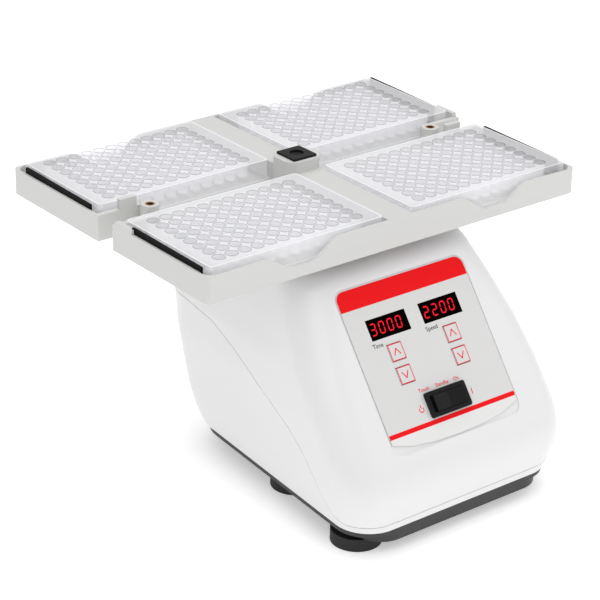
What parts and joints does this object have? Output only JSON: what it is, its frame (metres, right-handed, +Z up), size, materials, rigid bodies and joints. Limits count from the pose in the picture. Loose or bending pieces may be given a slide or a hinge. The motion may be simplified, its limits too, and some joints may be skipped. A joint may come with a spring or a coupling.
{
  "type": "microplate vortex mixer",
  "caption": "Bench vortex mixer with a sloping control panel and an orbiting tray that holds microplates, driven by a vertical motor through an eccentric hub.",
  "frame": {"origin": "on the ground, under the middle of the overall footprint", "axes": "+X to the right along the tray's long side, +Y to the back, +Z up"},
  "size_m": [0.282, 0.2672, 0.1845],
  "materials": {
    "white_shell": "satin white moulding",
    "tray_plastic": "matt light grey moulding",
    "clear_plastic": "clear polystyrene",
    "overlay_grey": "printed membrane sheet",
    "key_grey": "membrane key",
    "display_black": "dark display window",
    "black_plastic": "satin black",
    "base_dark": "matt dark coating",
    "rubber": "matt",
    "steel": "machined",
    "aluminium": "machined",
    "brass": "machined",
    "board_green": "solder resist"
  },
  "bodies": {
    "housing": {"base_pan": "base_dark", "ballast_plate": "steel", "foot_front_left": "rubber", "foot_front_right": "rubber", "foot_middle_left": "rubber", "foot_middle_right": "rubber", "foot_rear_left": "rubber", "foot_rear_right": "rubber", "lower_housing": "white_shell", "upper_cover": "white_shell", "control_overlay": "overlay_grey", "window_time": "display_black", "window_speed": "display_black", "switch_bezel": "black_plastic", "control_board": "board_green", "power_inlet": "black_plastic", "motor_bracket": "aluminium", "standoff_front_left": "steel", "standoff_front_right": "steel", "standoff_rear_left": "steel", "standoff_rear_right": "steel", "motor_can": "steel", "drive_boot": "rubber"},
    "rotor": {"motor_shaft": "steel", "eccentric_hub": "steel", "counterweight": "steel", "bearing_inner": "steel"},
    "shaker": {"bearing_outer": "steel", "drive_head": "aluminium", "tray": "tray_plastic", "hub_cap": "black_plastic", "tray_screw": "steel", "grip_front_left": "rubber", "grip_front_right": "rubber", "grip_rear_left": "rubber", "grip_rear_right": "rubber", "insert_left": "brass", "insert_right": "brass"},
    "plate_front_left": {"microplate_front_left": "clear_plastic"},
    "plate_front_right": {"microplate_front_right": "clear_plastic"},
    "plate_rear_left": {"microplate_rear_left": "clear_plastic"},
    "plate_rear_right": {"microplate_rear_right": "clear_plastic"},
    "key_time_up": {"key_time_up": "key_grey"},
    "key_time_down": {"key_time_down": "key_grey"},
    "key_speed_up": {"key_speed_up": "key_grey"},
    "key_speed_down": {"key_speed_down": "key_grey"},
    "rocker": {"switch_rocker": "black_plastic"}
  },
  "joints": [
    {"name": "motor_spin", "type": "hinge", "parent": "housing", "child": "rotor", "pos_m": [0, 0.0315, 0.124], "axis": [0, 0, 1], "continuous": true, "deforming": ["drive_boot"]},
    {"name": "tray_orbit", "type": "hinge", "parent": "rotor", "child": "shaker", "pos_m": [0, 0.03395, 0.149], "axis": [0, 0, 1], "continuous": true},
    {"name": "lift_front_left", "type": "slide", "parent": "shaker", "child": "plate_front_left", "axis": [0, 0, 1], "range_m": [0, 0.03]},
    {"name": "lift_front_right", "type": "slide", "parent": "shaker", "child": "plate_front_right", "axis": [0, 0, 1], "range_m": [0, 0.03]},
    {"name": "lift_rear_left", "type": "slide", "parent": "shaker", "child": "plate_rear_left", "axis": [0, 0, 1], "range_m": [0, 0.03]},
    {"name": "lift_rear_right", "type": "slide", "parent": "shaker", "child": "plate_rear_right", "axis": [0, 0, 1], "range_m": [0, 0.03]},
    {"name": "press_time_up", "type": "slide", "parent": "housing", "child": "key_time_up", "axis": [0, 0.7936, -0.6085], "range_m": [0, 0.0004], "stiffness_N_per_m": 600},
    {"name": "press_time_down", "type": "slide", "parent": "housing", "child": "key_time_down", "axis": [0, 0.7936, -0.6085], "range_m": [0, 0.0004], "stiffness_N_per_m": 600},
    {"name": "press_speed_up", "type": "slide", "parent": "housing", "child": "key_speed_up", "axis": [0, 0.7936, -0.6085], "range_m": [0, 0.0004], "stiffness_N_per_m": 600},
    {"name": "press_speed_down", "type": "slide", "parent": "housing", "child": "key_speed_down", "axis": [0, 0.7936, -0.6085], "range_m": [0, 0.0004], "stiffness_N_per_m": 600},
    {"name": "switch_rock", "type": "hinge", "parent": "housing", "child": "rocker", "pos_m": [0, -0.11177, 0.07583], "axis": [0, 0.6085, 0.7936], "range_deg": [-10, 10]}
  ],
  "couplings": [
    {"joint": "tray_orbit", "follows": "motor_spin", "ratio": -1}
  ]
}
